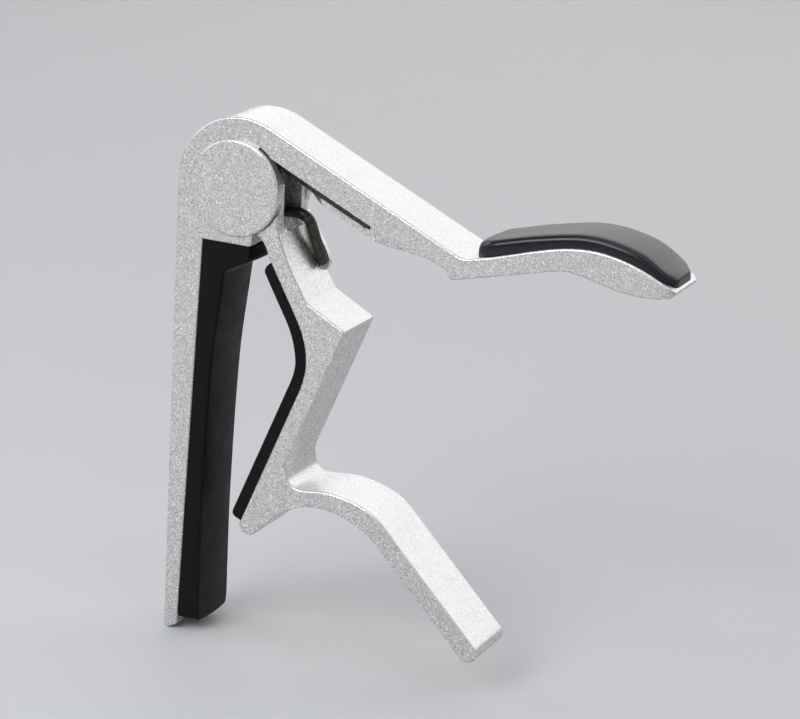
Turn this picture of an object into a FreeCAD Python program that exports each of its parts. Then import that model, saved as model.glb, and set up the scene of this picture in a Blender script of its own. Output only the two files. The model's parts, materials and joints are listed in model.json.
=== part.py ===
import FreeCAD, Part
import math
import os
from FreeCAD import Vector

# Trigger-style spring capo, in millimetres.
# X points from the string bar towards the handle, Z points up along the bar, and Y is the pivot axis.
# Everything is drawn about the middle of the pivot. It is the same in front of and behind the XZ plane,
# apart from the two spring legs and the lip that guards one of them. main() then moves every piece
# back by the caps' reach, so the origin of the finished files is the centre of the front cap's face.

# Both castings
HALF_DEPTH = 6.0
EDGE_ROUND = 0.35
SHARP_WITHIN_R = 10.9

# Frame: hub
BAR_OUTER_X = -11.6
HUB_ROUND_R = 12.4
HUB_ROUND_Z = 0.1
ARM_FALL_DEG = 24.7
POCKET_R = 7.9
POCKET_MOUTH_R = 8.95
POCKET_MOUTH_DEG = 62.0
SHELF_END_X = 3.4
SHELF_Z = -10.2
SHELF_CORNER_ROUND = 0.8

# Frame: string bar
BAR_INNER_TOP = (-6.35, SHELF_Z)
BAR_INNER_END = (-8.95, -83.6)
BAR_OUTER_END_Z = -85.0
BAR_OUTER_END_ROUND = 0.7
BAR_INNER_END_ROUND = 0.5

# Frame: handle arm
ARM_TOP_END = (43.1, -5.65)
ARM_VALLEY_ROUND = 4.0
HANDLE_TOP = [(54.0, -2.75), (65.8, -0.4), (74.0, -1.8), (80.6, -4.95)]
HANDLE_TIP = [(81.2, -5.35), (80.5, -6.15)]
HANDLE_TIP_ROUND = 0.4
HANDLE_CORNER_R = 2.2
HANDLE_UNDER = [(77.0, -6.8), (70.3, -6.35), (62.2, -4.75), (56.0, -6.0)]
HEEL = (41.3, -9.7)
HEEL_ROUND = 0.6
HEEL_STEP = (40.2, -8.0)
HEEL_STEP_ROUND = 0.8
ARM_UNDER = [(36.0, -6.5), (30.75, -6.4), (24.5, -5.6)]
ARM_UNDER_SLOPE = 0.467
ARM_UNDER_START_Z = 1.7

# Frame: rebate and groove under the front edge of the arm, where one spring leg lies
REBATE_ROOF = [(4.0, 7.25), (36.6, -7.55)]
REBATE_PLAN = [(4.0, -0.5), (11.5, -0.5), (15.0, -3.15), (27.0, -3.15), (36.0, -6.0)]
REBATE_FLOOR_Z = -14.0
ARM_GROOVE_CLEARANCE = 0.2

# Lever: hub
LEVER_HUB_R = 7.6
LEVER_HUB_START_DEG = 30.0
STOP_FACE_X = 3.45
STOP_FACE_Z = -7.5
CHEEK_INNER_Y = 3.3
SPRING_ROOM_R = 11.2
CAP_ROOM_R = 8.9
CAP_ROOM_Y = 4.8
WASHER_ROOM_R = 5.2
WASHER_ROOM_Y = 4.4

# Lever: neck side, which carries the saddle pad
CHIN = [(4.95, -8.3), (6.6, -11.1)]
SADDLE_UPPER_END = (12.4, -21.2)
SADDLE_BULGE = (14.85, -29.0)
SADDLE_LOWER_START = (13.7, -34.8)
SADDLE_LOWER_END = (3.1, -61.4)
SADDLE_TIP = [(4.5, -63.1), (6.6, -62.3)]

# Lever: trigger
ARCH = [(11.6, -57.7), (19.2, -55.35), (27.2, -57.7), (32.0, -61.75)]
TRIGGER_END = [(47.45, -77.25), (50.05, -77.25), (50.05, -74.65)]
TRIGGER_TOP_START = (34.2, -58.8)
TRIGGER_TOP = [(30.2, -54.95), (25.6, -52.9), (20.6, -52.1), (15.6, -52.6)]
TRIGGER_ROOT = [(12.75, -51.7), (11.95, -49.5), (12.5, -46.6)]

# Lever: back of the neck
BLOCK_TIP = (22.1, -22.3)
BLOCK_TIP_ROUND = 0.5
BLOCK_ROOT = (14.5, -18.35)
BLOCK_ROOT_ROUND = 0.8
NECK_BACK = [(11.4, -13.4), (8.95, -8.2), (8.05, -3.9)]
CHEEK_TOP = (8.0, 1.4)

# Lever: lip beside the spring leg
LIP_OUTER = [(8.35, -5.1), (10.2, -7.9), (11.9, -10.5), (13.2, -13.3)]
LIP_END = [(13.2, -14.2), (12.5, -15.2)]
LIP_ROOT = [(9.5, -12.0), (7.5, -8.0), (7.2, -4.6)]
LIP_INNER_Y = 5.1

# Pivot
PIN_R = 2.5
PIN_HALF_LENGTH = 6.2
RUNNING_CLEARANCE = 0.05
CAP_R = 8.6
CAP_SEAT_CLEARANCE = 0.05
CAP_INNER_Y = 4.9
CAP_OUTER_Y = 6.95
CAP_EDGE_ROUND = 0.5
WASHER_R = 5.0
WASHER_THICKNESS = 0.4
BUSH_R = 3.6
SLEEVE_R = 3.4
SLEEVE_HALF_LENGTH = 3.2

# Torsion spring
WIRE_R = 1.0
COIL_R = 4.9
COIL_PITCH = 2.2
COIL_TURNS = 1.5
WIRE_BEND_R = 2.5
ARM_LEG_BEND_X = 6.5
ARM_LEG_REST = [(13.3, -3.6, 2.1), (24.7, -3.6, -3.05)]
LEVER_LEG = [(10.0, -4.9), (12.55, -13.8)]
LEVER_LEG_END_Y = 3.9
LEG_GROOVE_CLEARANCE = 0.1
LEG_GROOVE_EXTRA = 0.3

# String pad
STRING_PAD_HALF_DEPTH = 5.7
STRING_PAD_TOP_GAP = 0.05
STRING_PAD_LIP = [(3.0, -13.0), (-2.0, -15.5)]
STRING_PAD_FACE = [(-3.9, -33.4), (-4.8, -60.0), (-4.75, -82.6)]
STRING_PAD_END_Z = -82.6
STRING_PAD_END_ROUND = 1.7
STRING_PAD_KEY_Z = [-14.0, -78.0]
STRING_PAD_KEY_DEPTH = 1.2
STRING_PAD_KEY_HALF_WIDTH = 2.0

# Saddle pad
SADDLE_PAD_HALF_DEPTH = 5.6
SADDLE_PAD_THICKNESS = 2.35
SADDLE_PAD_TOP = (7.3, -12.32)
SADDLE_PAD_END_ROUND = 1.2
SADDLE_PEG_Z = [-17.0, -47.0]
SADDLE_PEG_HALF = 1.5
SADDLE_PEG_DEPTH = 1.6

# Handle grip
GRIP_HALF_DEPTH = 5.6
GRIP_START = 45.0
GRIP_END = 80.8
GRIP_TOP = [(47.0, -1.95), (57.0, 0.6), (65.8, 1.9), (74.0, 0.5), (79.9, -2.85)]
GRIP_START_STEP = 1.2
GRIP_END_STEP = 0.9
GRIP_PEG_X = [52.0, 72.0]
GRIP_PEG_HALF = 1.5
GRIP_PEG_DEPTH = 2.0

# Construction
FAR = 200.0
OVERRUN = 1.0
PEG_OVERLAP = 1.0
SAME_POINT = 0.02
SAME_PLANE = 1e-4


class Outline:
    """A closed outline in the XZ plane, drawn from one point to the next."""

    def __init__(self, start):
        self.start = Vector(start[0], 0, start[1])
        self.here = self.start
        self.edges = []

    def line(self, *points):
        for x, z in points:
            end = Vector(x, 0, z)
            self.edges.append(Part.LineSegment(self.here, end).toShape())
            self.here = end
        return self

    def arc(self, middle, end):
        through = Vector(middle[0], 0, middle[1])
        stop = Vector(end[0], 0, end[1])
        self.edges.append(Part.Arc(self.here, through, stop).toShape())
        self.here = stop
        return self

    def curve(self, points, leave=None, arrive=None):
        """A smooth curve through the points, with directions at its ends if they are given."""
        places = [self.here] + [Vector(x, 0, z) for x, z in points]
        spline = Part.BSplineCurve()
        if leave and arrive:
            first = Vector(leave[0], 0, leave[1])
            last = Vector(arrive[0], 0, arrive[1])
            spline.interpolate(Points=places, InitialTangent=first, FinalTangent=last)
        else:
            spline.interpolate(places)
        self.edges.append(spline.toShape())
        self.here = places[-1]
        return self

    def slab(self, low_y, high_y):
        """The solid that fills the outline between two values of Y."""
        if self.here.distanceToPoint(self.start) > SAME_PLANE:
            self.line((self.start.x, self.start.z))
        face = Part.Face(Part.Wire(self.edges))
        face.translate(Vector(0, low_y, 0))
        return face.extrude(Vector(0, high_y - low_y, 0))


def on_circle(radius, degrees, centre_x=0.0, centre_z=0.0):
    turn = math.radians(degrees)
    return (centre_x + radius * math.cos(turn), centre_z + radius * math.sin(turn))


def drum(radius, low_y, high_y, x=0.0, z=0.0):
    """A cylinder about an axis parallel to the pivot."""
    return Part.makeCylinder(radius, high_y - low_y, Vector(x, low_y, z), Vector(0, 1, 0))


def ring(outer_r, inner_r, low_y, high_y):
    return drum(outer_r, low_y, high_y).cut(drum(inner_r, low_y, high_y))


def direction(start, end):
    length = math.dist(start, end)
    return ((end[0] - start[0]) / length, (end[1] - start[1]) / length)


def round_corners(solid, corners):
    """Rounds the edges that run along Y at the given (x, z): radius pairs."""
    for (x, z), radius in corners.items():
        picked = []
        for edge in solid.Edges:
            ends = [vertex.Point for vertex in edge.Vertexes]
            if len(ends) == 2 and all(math.hypot(p.x - x, p.z - z) < SAME_POINT for p in ends):
                picked.append(edge)
        solid = solid.makeFillet(radius, picked)
    return solid


def round_faces(solid, radius, depths, sharp_within=0.0):
    """Rounds the edges in the planes Y = depth, apart from those close around the pivot."""
    picked = []
    for edge in solid.Edges:
        box = edge.BoundBox
        in_plane = any(max(abs(box.YMin - y), abs(box.YMax - y)) < SAME_PLANE for y in depths)
        reach = max(math.hypot(vertex.Point.x, vertex.Point.z) for vertex in edge.Vertexes)
        if in_plane and reach >= sharp_within:
            picked.append(edge)
    return solid.makeFillet(radius, picked)


def bar_inner_x(z):
    """The bar's inner face, at a height."""
    share = (z - BAR_INNER_TOP[1]) / (BAR_INNER_END[1] - BAR_INNER_TOP[1])
    return BAR_INNER_TOP[0] + share * (BAR_INNER_END[0] - BAR_INNER_TOP[0])


def frame_blank():
    """The side view of the frame, as thick as the casting."""
    centre_x = BAR_OUTER_X + HUB_ROUND_R
    hub_left = on_circle(HUB_ROUND_R, 180, centre_x, HUB_ROUND_Z)
    hub_top = on_circle(HUB_ROUND_R, 130, centre_x, HUB_ROUND_Z)
    arm_start = on_circle(HUB_ROUND_R, 90 - ARM_FALL_DEG, centre_x, HUB_ROUND_Z)
    under_start_x = math.sqrt(POCKET_MOUTH_R ** 2 - ARM_UNDER_START_Z ** 2)
    under_line = (under_start_x, ARM_UNDER[-1][1] + (ARM_UNDER[-1][0] - under_start_x) * ARM_UNDER_SLOPE)
    mouth_low_deg = math.degrees(math.atan2(under_line[1], under_line[0]))
    mouth_start = on_circle(POCKET_MOUTH_R, mouth_low_deg)
    mouth_middle = on_circle(POCKET_MOUTH_R, (mouth_low_deg + POCKET_MOUTH_DEG) / 2)
    mouth_end = on_circle(POCKET_MOUTH_R, POCKET_MOUTH_DEG)
    pocket_start = on_circle(POCKET_R, POCKET_MOUTH_DEG)
    pocket_end = (SHELF_END_X, -math.sqrt(POCKET_R ** 2 - SHELF_END_X ** 2))
    outline = Outline((BAR_OUTER_X, BAR_OUTER_END_Z))
    outline.line(hub_left)
    outline.arc(hub_top, arm_start)
    outline.line(ARM_TOP_END)
    outline.curve(HANDLE_TOP)
    outline.line(*HANDLE_TIP)
    outline.curve(HANDLE_UNDER, leave=(-1, -0.35), arrive=direction(HANDLE_UNDER[-1], HEEL))
    outline.line(HEEL, HEEL_STEP)
    outline.curve(ARM_UNDER, leave=(-1, 0.5), arrive=(-1, ARM_UNDER_SLOPE))
    outline.line(mouth_start)
    outline.arc(mouth_middle, mouth_end)
    outline.line(pocket_start)
    outline.arc((-POCKET_R, 0.0), pocket_end)
    outline.line((SHELF_END_X, SHELF_Z), BAR_INNER_TOP, BAR_INNER_END)
    blank = outline.slab(-HALF_DEPTH, HALF_DEPTH)
    corners = {
        (BAR_OUTER_X, BAR_OUTER_END_Z): BAR_OUTER_END_ROUND,
        BAR_INNER_END: BAR_INNER_END_ROUND,
        ARM_TOP_END: ARM_VALLEY_ROUND,
        HANDLE_TIP[0]: HANDLE_TIP_ROUND,
        HANDLE_TIP[1]: HANDLE_TIP_ROUND,
        HEEL: HEEL_ROUND,
        HEEL_STEP: HEEL_STEP_ROUND,
        (SHELF_END_X, SHELF_Z): SHELF_CORNER_ROUND,
    }
    return round_corners(blank, corners)


def rebate():
    """What is cut from the arm's lower front edge for the spring leg."""
    front_y = -HALF_DEPTH - OVERRUN
    plan = [Vector(REBATE_PLAN[0][0], front_y, REBATE_FLOOR_Z)]
    plan += [Vector(x, y, REBATE_FLOOR_Z) for x, y in REBATE_PLAN]
    plan += [Vector(REBATE_PLAN[-1][0], front_y, REBATE_FLOOR_Z), plan[0]]
    column = Part.Face(Part.makePolygon(plan)).extrude(Vector(0, 0, FAR))
    roof = Outline(REBATE_ROOF[0])
    roof.line(REBATE_ROOF[1], (REBATE_ROOF[1][0], REBATE_FLOOR_Z), (REBATE_ROOF[0][0], REBATE_FLOOR_Z))
    return column.common(roof.slab(front_y, HALF_DEPTH))


def arm_groove():
    """The round groove in the rebate's corner, which holds the spring leg."""
    bend, elbow, end = arm_leg_places()[1:]
    end += (end - elbow).normalize() * LEG_GROOVE_EXTRA
    radius = WIRE_R + ARM_GROOVE_CLEARANCE
    return rod(bend, elbow, radius).fuse(rod(elbow, end, radius)).fuse(Part.makeSphere(radius, elbow))


def handle_corners():
    """What is cut from the end of the handle to round its corners, seen from above."""
    end_x = HANDLE_TIP[0][0]
    start_x = end_x - HANDLE_CORNER_R
    block = Part.makeBox(FAR, 2 * FAR, FAR, Vector(start_x, -FAR, -FAR / 2))
    keep = Part.makeBox(HANDLE_CORNER_R, 2 * HALF_DEPTH, FAR, Vector(start_x, -HALF_DEPTH, -FAR / 2))
    upright = [edge for edge in keep.Edges if edge.BoundBox.XLength + edge.BoundBox.YLength < SAME_PLANE]
    outer = [edge for edge in upright if edge.CenterOfMass.x > end_x - SAME_POINT]
    return block.cut(keep.makeFillet(HANDLE_CORNER_R - SAME_POINT, outer))


def string_pad_key():
    """The rib of the string pad, which fills a channel in the bar."""
    top, low = STRING_PAD_KEY_Z
    outline = Outline((bar_inner_x(top), top))
    outline.line((bar_inner_x(low), low), (bar_inner_x(low) - STRING_PAD_KEY_DEPTH, low))
    outline.line((bar_inner_x(top) - STRING_PAD_KEY_DEPTH, top))
    return outline.slab(-STRING_PAD_KEY_HALF_WIDTH, STRING_PAD_KEY_HALF_WIDTH)


def handle_top_z(x):
    """The height of the handle's metal top under the grip."""
    points = [ARM_TOP_END] + HANDLE_TOP
    spline = Part.BSplineCurve()
    spline.interpolate([Vector(px, 0, pz) for px, pz in points])
    cut = spline.toShape().common(Part.makeBox(FAR, FAR, FAR, Vector(x, -FAR / 2, -FAR / 2)))
    return min(cut.Vertexes, key=lambda vertex: abs(vertex.Point.x - x)).Point.z


def grip_pegs():
    """The two pegs that hold the grip in the handle."""
    pegs = []
    for x in GRIP_PEG_X:
        top = handle_top_z(x)
        size = 2 * GRIP_PEG_HALF
        corner = Vector(x - GRIP_PEG_HALF, -GRIP_PEG_HALF, top - GRIP_PEG_DEPTH)
        pegs.append(Part.makeBox(size, size, GRIP_PEG_DEPTH + PEG_OVERLAP, corner))
    return pegs


def main_frame():
    """String bar, hub and handle arm, cast in one piece."""
    frame = round_faces(frame_blank(), EDGE_ROUND, [-HALF_DEPTH, HALF_DEPTH], SHARP_WITHIN_R)
    frame = frame.cut(rebate())
    frame = frame.cut(arm_groove())
    frame = frame.cut(handle_corners())
    seat_r = CAP_R + CAP_SEAT_CLEARANCE
    frame = frame.cut(drum(seat_r, -HALF_DEPTH - OVERRUN, -CAP_INNER_Y))
    frame = frame.cut(drum(seat_r, CAP_INNER_Y, HALF_DEPTH + OVERRUN))
    frame = frame.cut(string_pad_key())
    for peg in grip_pegs():
        frame = frame.cut(peg)
    return frame


def saddle_edges(outline):
    """The neck side of the lever, drawn downwards from the chin."""
    outline.line(SADDLE_UPPER_END)
    outline.curve([SADDLE_BULGE, SADDLE_LOWER_START],
                  leave=direction(CHIN[-1], SADDLE_UPPER_END),
                  arrive=direction(SADDLE_LOWER_START, SADDLE_LOWER_END))
    outline.line(SADDLE_LOWER_END)
    return outline


def lever_blank():
    """The side view of the lever, as thick as the casting."""
    hub_start = on_circle(LEVER_HUB_R, LEVER_HUB_START_DEG)
    hub_end = (STOP_FACE_X, -math.sqrt(LEVER_HUB_R ** 2 - STOP_FACE_X ** 2))
    outline = Outline(hub_start)
    outline.arc((-LEVER_HUB_R, 0.0), hub_end)
    outline.line((STOP_FACE_X, STOP_FACE_Z))
    outline.curve(CHIN)
    saddle_edges(outline)
    outline.arc(*SADDLE_TIP)
    outline.curve(ARCH, leave=(0.75, 0.66), arrive=(1, -1))
    outline.line(TRIGGER_END[0])
    outline.arc(TRIGGER_END[1], TRIGGER_END[2])
    outline.line(TRIGGER_TOP_START)
    outline.curve(TRIGGER_TOP, leave=(-1, 1), arrive=(-1, -0.12))
    outline.curve(TRIGGER_ROOT, leave=(-1, -0.12), arrive=direction(TRIGGER_ROOT[-1], BLOCK_TIP))
    outline.line(BLOCK_TIP, BLOCK_ROOT)
    outline.curve(NECK_BACK, leave=(-0.6, 1), arrive=(0, 1))
    outline.line(CHEEK_TOP, hub_start)
    blank = outline.slab(-HALF_DEPTH, HALF_DEPTH)
    return round_corners(blank, {BLOCK_TIP: BLOCK_TIP_ROUND, BLOCK_ROOT: BLOCK_ROOT_ROUND})


def lever_lip():
    """The raised lip at the back edge of the neck, which keeps the spring leg from sliding off."""
    outline = Outline(LIP_ROOT[-1])
    outline.line(LIP_OUTER[0])
    outline.curve(LIP_OUTER[1:])
    outline.line(*LIP_END, *LIP_ROOT)
    return outline.slab(LIP_INNER_Y, HALF_DEPTH)


def saddle_pegs():
    """The two pegs that hold the saddle pad in the lever."""
    pegs = []
    upper = direction(CHIN[-1], SADDLE_UPPER_END)
    lower = direction(SADDLE_LOWER_START, SADDLE_LOWER_END)
    for z, way, start in zip(SADDLE_PEG_Z, [upper, lower], [CHIN[-1], SADDLE_LOWER_START]):
        x = start[0] + (z - start[1]) * way[0] / way[1]
        along = Vector(way[0], 0, way[1])
        inward = Vector(-way[1], 0, way[0])
        corner = Vector(x, -SADDLE_PEG_HALF, z) - along * SADDLE_PEG_HALF - inward * PEG_OVERLAP
        width = along * 2 * SADDLE_PEG_HALF
        depth = inward * (SADDLE_PEG_DEPTH + PEG_OVERLAP)
        places = [corner, corner + width, corner + width + depth, corner + depth]
        peg = Part.Face(Part.makePolygon(places + [corner])).extrude(Vector(0, 2 * SADDLE_PEG_HALF, 0))
        pegs.append(peg)
    return pegs


def trigger_lever():
    """Neck jaw and trigger, cast in one piece, with two cheeks around the spring."""
    lever = round_faces(lever_blank(), EDGE_ROUND, [-HALF_DEPTH, HALF_DEPTH])
    lever = lever.fuse(lever_lip()).removeSplitter()
    lever = lever.cut(drum(SPRING_ROOM_R, -CHEEK_INNER_Y, CHEEK_INNER_Y))
    for side in (-1, 1):
        for radius, depth in ((CAP_ROOM_R, CAP_ROOM_Y), (WASHER_ROOM_R, WASHER_ROOM_Y)):
            ends = sorted((side * depth, side * (HALF_DEPTH + OVERRUN)))
            lever = lever.cut(drum(radius, *ends))
    lever = lever.cut(drum(BUSH_R, -HALF_DEPTH, HALF_DEPTH))
    start, end = lever_leg_ends()
    end += (end - start).normalize() * LEG_GROOVE_EXTRA
    groove = rod(start, end, WIRE_R + LEG_GROOVE_CLEARANCE)
    lever = lever.cut(groove)
    for peg in saddle_pegs():
        lever = lever.cut(peg)
    return lever


def rod(start, end, radius):
    return Part.makeCylinder(radius, (end - start).Length, start, end - start)


def coil_end_y():
    return COIL_PITCH * COIL_TURNS / 2


def coil_slope():
    """How far the wire moves along Y for each millimetre that it runs round the coil."""
    return COIL_PITCH / (2 * math.pi * COIL_R)


def arm_leg_places():
    """The corners of the leg under the arm, from the coil outwards."""
    front = Vector(0, -coil_end_y(), COIL_R)
    bend = front + Vector(1, -coil_slope(), 0) * ARM_LEG_BEND_X
    return [front, bend] + [Vector(*place) for place in ARM_LEG_REST]


def lever_leg_ends():
    bend = Vector(LEVER_LEG[0][0], coil_end_y() + coil_slope() * LEVER_LEG[0][0], LEVER_LEG[0][1])
    end = Vector(LEVER_LEG[1][0], LEVER_LEG_END_Y, LEVER_LEG[1][1])
    return bend, end


def bent_line(places):
    """Straight edges through the places, with an arc of the wire's bend radius at each corner."""
    edges = []
    here = places[0]
    for before, corner, after in zip(places, places[1:], places[2:]):
        back = (before - corner).normalize()
        ahead = (after - corner).normalize()
        half_angle = back.getAngle(ahead) / 2
        reach = WIRE_BEND_R / math.tan(half_angle)
        centre = corner + (back + ahead).normalize() * (WIRE_BEND_R / math.sin(half_angle))
        middle = centre + (corner - centre).normalize() * WIRE_BEND_R
        bend = Part.Arc(corner + back * reach, middle, corner + ahead * reach)
        edges.append(Part.LineSegment(here, corner + back * reach).toShape())
        edges.append(bend.toShape())
        here = corner + ahead * reach
    edges.append(Part.LineSegment(here, places[-1]).toShape())
    return edges


def coil_line():
    """One and a half turns about the pivot, from the top in front to the bottom behind."""
    helix = Part.makeHelix(COIL_PITCH, COIL_PITCH * COIL_TURNS, COIL_R, 0, True)
    helix.rotate(Vector(0, 0, 0), Vector(1, 0, 0), -90)
    helix.rotate(Vector(0, 0, 0), Vector(0, 1, 0), -90)
    helix.translate(Vector(0, -coil_end_y(), 0))
    return helix.Edges


def torsion_spring():
    """A coil about the pivot, with one leg under the arm and one on the back of the lever's neck."""
    arm_leg = arm_leg_places()
    back = Vector(0, coil_end_y(), -COIL_R)
    path = Part.Wire(bent_line(arm_leg[::-1]) + coil_line() + bent_line([back, *lever_leg_ends()]))
    way_in = arm_leg[-2] - arm_leg[-1]
    section = Part.Wire(Part.Circle(arm_leg[-1], way_in, WIRE_R).toShape())
    return path.makePipeShell([section], True, False)


def pivot_pin():
    return drum(PIN_R, -PIN_HALF_LENGTH, PIN_HALF_LENGTH)


def cap(side):
    """A round cover that sits in the frame's hub and carries one end of the pin."""
    disc = drum(CAP_R, CAP_INNER_Y, CAP_OUTER_Y)
    disc = round_faces(disc, CAP_EDGE_ROUND, [CAP_OUTER_Y])
    disc = disc.cut(drum(PIN_R, 0, PIN_HALF_LENGTH))
    if side < 0:
        disc.rotate(Vector(0, 0, 0), Vector(0, 0, 1), 180)
    return disc


def washer(side):
    """A thin ring between a cap and the lever's cheek."""
    ends = sorted((side * CAP_INNER_Y, side * (CAP_INNER_Y - WASHER_THICKNESS)))
    return ring(WASHER_R, PIN_R + RUNNING_CLEARANCE, *ends)


def bush(side):
    """A bearing pressed into one cheek of the lever."""
    ends = sorted((side * WASHER_ROOM_Y, side * CHEEK_INNER_Y))
    return ring(BUSH_R, PIN_R + RUNNING_CLEARANCE, *ends)


def spring_sleeve():
    """A tube that keeps the coil off the pin."""
    return ring(SLEEVE_R, PIN_R + RUNNING_CLEARANCE, -SLEEVE_HALF_LENGTH, SLEEVE_HALF_LENGTH)


def string_pad():
    """The rubber strip that presses on the strings, with a lip under the hub and a key in the bar."""
    top = SHELF_Z - STRING_PAD_TOP_GAP
    outline = Outline((bar_inner_x(top), top))
    outline.line((STRING_PAD_LIP[0][0], top), *STRING_PAD_LIP)
    outline.curve(STRING_PAD_FACE)
    outline.line((bar_inner_x(STRING_PAD_END_Z), STRING_PAD_END_Z))
    pad = outline.slab(-STRING_PAD_HALF_DEPTH, STRING_PAD_HALF_DEPTH)
    lowest = [edge for edge in pad.Edges if edge.BoundBox.ZMax < STRING_PAD_END_Z + SAME_POINT]
    side_edges = [edge for edge in lowest if edge.BoundBox.YLength < SAME_POINT]
    pad = pad.makeFillet(STRING_PAD_END_ROUND, side_edges)
    return pad.fuse(string_pad_key()).removeSplitter()


def saddle_pad():
    """The curved rubber that rests on the back of the neck."""
    upper = direction(CHIN[-1], SADDLE_UPPER_END)
    lower = direction(SADDLE_LOWER_START, SADDLE_LOWER_END)

    def outwards(point, way):
        return (point[0] + way[1] * SADDLE_PAD_THICKNESS, point[1] - way[0] * SADDLE_PAD_THICKNESS)

    bulge = outwards(SADDLE_BULGE, (0.0, -1.0))
    lower_corner = outwards(SADDLE_LOWER_END, lower)
    upper_corner = outwards(SADDLE_PAD_TOP, upper)
    outline = saddle_edges(Outline(SADDLE_PAD_TOP))
    outline.line(lower_corner, outwards(SADDLE_LOWER_START, lower))
    outline.curve([bulge, outwards(SADDLE_UPPER_END, upper)],
                  leave=(-lower[0], -lower[1]), arrive=(-upper[0], -upper[1]))
    outline.line(upper_corner)
    pad = outline.slab(-SADDLE_PAD_HALF_DEPTH, SADDLE_PAD_HALF_DEPTH)
    pad = round_corners(pad, {lower_corner: SADDLE_PAD_END_ROUND, upper_corner: SADDLE_PAD_END_ROUND})
    for peg in saddle_pegs():
        pad = pad.fuse(peg)
    return pad.removeSplitter()


def handle_grip():
    """The rubber cover along the top of the handle."""
    outline = Outline(ARM_TOP_END)
    outline.curve(HANDLE_TOP)
    outline.line((HANDLE_TOP[-1][0], FAR), (ARM_TOP_END[0], FAR))
    above_handle = outline.slab(-GRIP_HALF_DEPTH, GRIP_HALF_DEPTH)
    cover = Outline((GRIP_START, -FAR))
    cover.line((GRIP_START, GRIP_TOP[0][1] - GRIP_START_STEP), GRIP_TOP[0])
    cover.curve(GRIP_TOP[1:])
    cover.line((GRIP_END, GRIP_TOP[-1][1] - GRIP_END_STEP), (GRIP_END, -FAR))
    grip = above_handle.common(cover.slab(-GRIP_HALF_DEPTH, GRIP_HALF_DEPTH))
    for peg in grip_pegs():
        grip = grip.fuse(peg)
    return grip.removeSplitter()


def main():
    os.makedirs("parts", exist_ok=True)
    pieces = {
        "main_frame": main_frame(),
        "trigger_lever": trigger_lever(),
        "string_pad": string_pad(),
        "saddle_pad": saddle_pad(),
        "handle_grip": handle_grip(),
        "pivot_pin": pivot_pin(),
        "front_cap": cap(-1),
        "back_cap": cap(1),
        "front_washer": washer(-1),
        "back_washer": washer(1),
        "front_bush": bush(-1),
        "back_bush": bush(1),
        "spring_sleeve": spring_sleeve(),
        "torsion_spring": torsion_spring(),
    }
    for name, shape in pieces.items():
        shape.translate(Vector(0, CAP_OUTER_Y, 0))
        shape.exportStep("parts/" + name + ".step")
        print(name, shape.isValid(), len(shape.Solids), "solid(s)", round(shape.Volume, 1), "mm3")


main()
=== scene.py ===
import json
import math

import bmesh
import bpy
from bpy.props import FloatProperty, FloatVectorProperty, PointerProperty
from mathutils import Matrix, Vector


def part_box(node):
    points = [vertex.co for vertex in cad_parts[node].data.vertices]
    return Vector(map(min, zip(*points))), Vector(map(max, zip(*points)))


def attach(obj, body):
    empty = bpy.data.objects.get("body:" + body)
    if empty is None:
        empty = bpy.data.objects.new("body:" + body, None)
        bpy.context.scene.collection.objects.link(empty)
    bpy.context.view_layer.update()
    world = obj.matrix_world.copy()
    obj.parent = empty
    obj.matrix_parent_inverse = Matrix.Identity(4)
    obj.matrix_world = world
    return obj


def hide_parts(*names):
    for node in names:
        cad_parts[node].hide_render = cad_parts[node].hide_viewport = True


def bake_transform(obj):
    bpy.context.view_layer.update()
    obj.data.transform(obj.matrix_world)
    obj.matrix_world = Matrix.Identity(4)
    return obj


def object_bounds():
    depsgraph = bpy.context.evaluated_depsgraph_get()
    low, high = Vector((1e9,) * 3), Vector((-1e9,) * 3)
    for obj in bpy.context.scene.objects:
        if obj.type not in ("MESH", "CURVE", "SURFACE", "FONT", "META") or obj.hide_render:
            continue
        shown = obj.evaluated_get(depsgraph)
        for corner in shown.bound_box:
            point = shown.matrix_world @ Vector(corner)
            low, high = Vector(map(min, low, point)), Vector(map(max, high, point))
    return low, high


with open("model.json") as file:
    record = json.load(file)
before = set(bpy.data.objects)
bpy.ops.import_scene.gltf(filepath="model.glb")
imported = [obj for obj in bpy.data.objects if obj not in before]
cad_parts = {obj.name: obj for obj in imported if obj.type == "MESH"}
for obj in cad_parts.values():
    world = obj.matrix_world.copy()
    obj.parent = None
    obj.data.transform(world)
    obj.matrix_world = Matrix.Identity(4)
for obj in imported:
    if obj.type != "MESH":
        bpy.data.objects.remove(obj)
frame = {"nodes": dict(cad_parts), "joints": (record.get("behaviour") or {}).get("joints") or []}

bl_info = {
    "name": "Guitar capo",
    "version": (1, 0, 0),
    "blender": (4, 5, 0),
    "location": "View3D > Sidebar > Capo",
    "description": "Rubber pads, grip, spring, finishes and studio for a trigger-style guitar capo",
    "category": "Object",
}

MM = 0.001
CAD_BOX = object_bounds()
FLOOR_Z = CAD_BOX[0].z
PIVOT = Vector(frame["joints"][0]["pos_m"])

# Outlines below are (x, z) points seen from the side, in millimetres from the middle of the pivot

# Faces of the castings that the rubber lies against, and how far it sinks into them
BAR_FACE = [(-6.35, -10.2), (-8.95, -83.6)]
JAW_UPPER = [(7.3, -12.32), (12.4, -21.2)]
JAW_BULGE = (14.85, -29.0)
JAW_LOWER = [(13.7, -34.8), (3.1, -61.4)]
HANDLE_TOP = [(43.1, -5.65), (54.0, -2.75), (65.8, -0.4), (74.0, -1.8), (80.6, -4.95)]
BEDDED = 0.08

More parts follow.
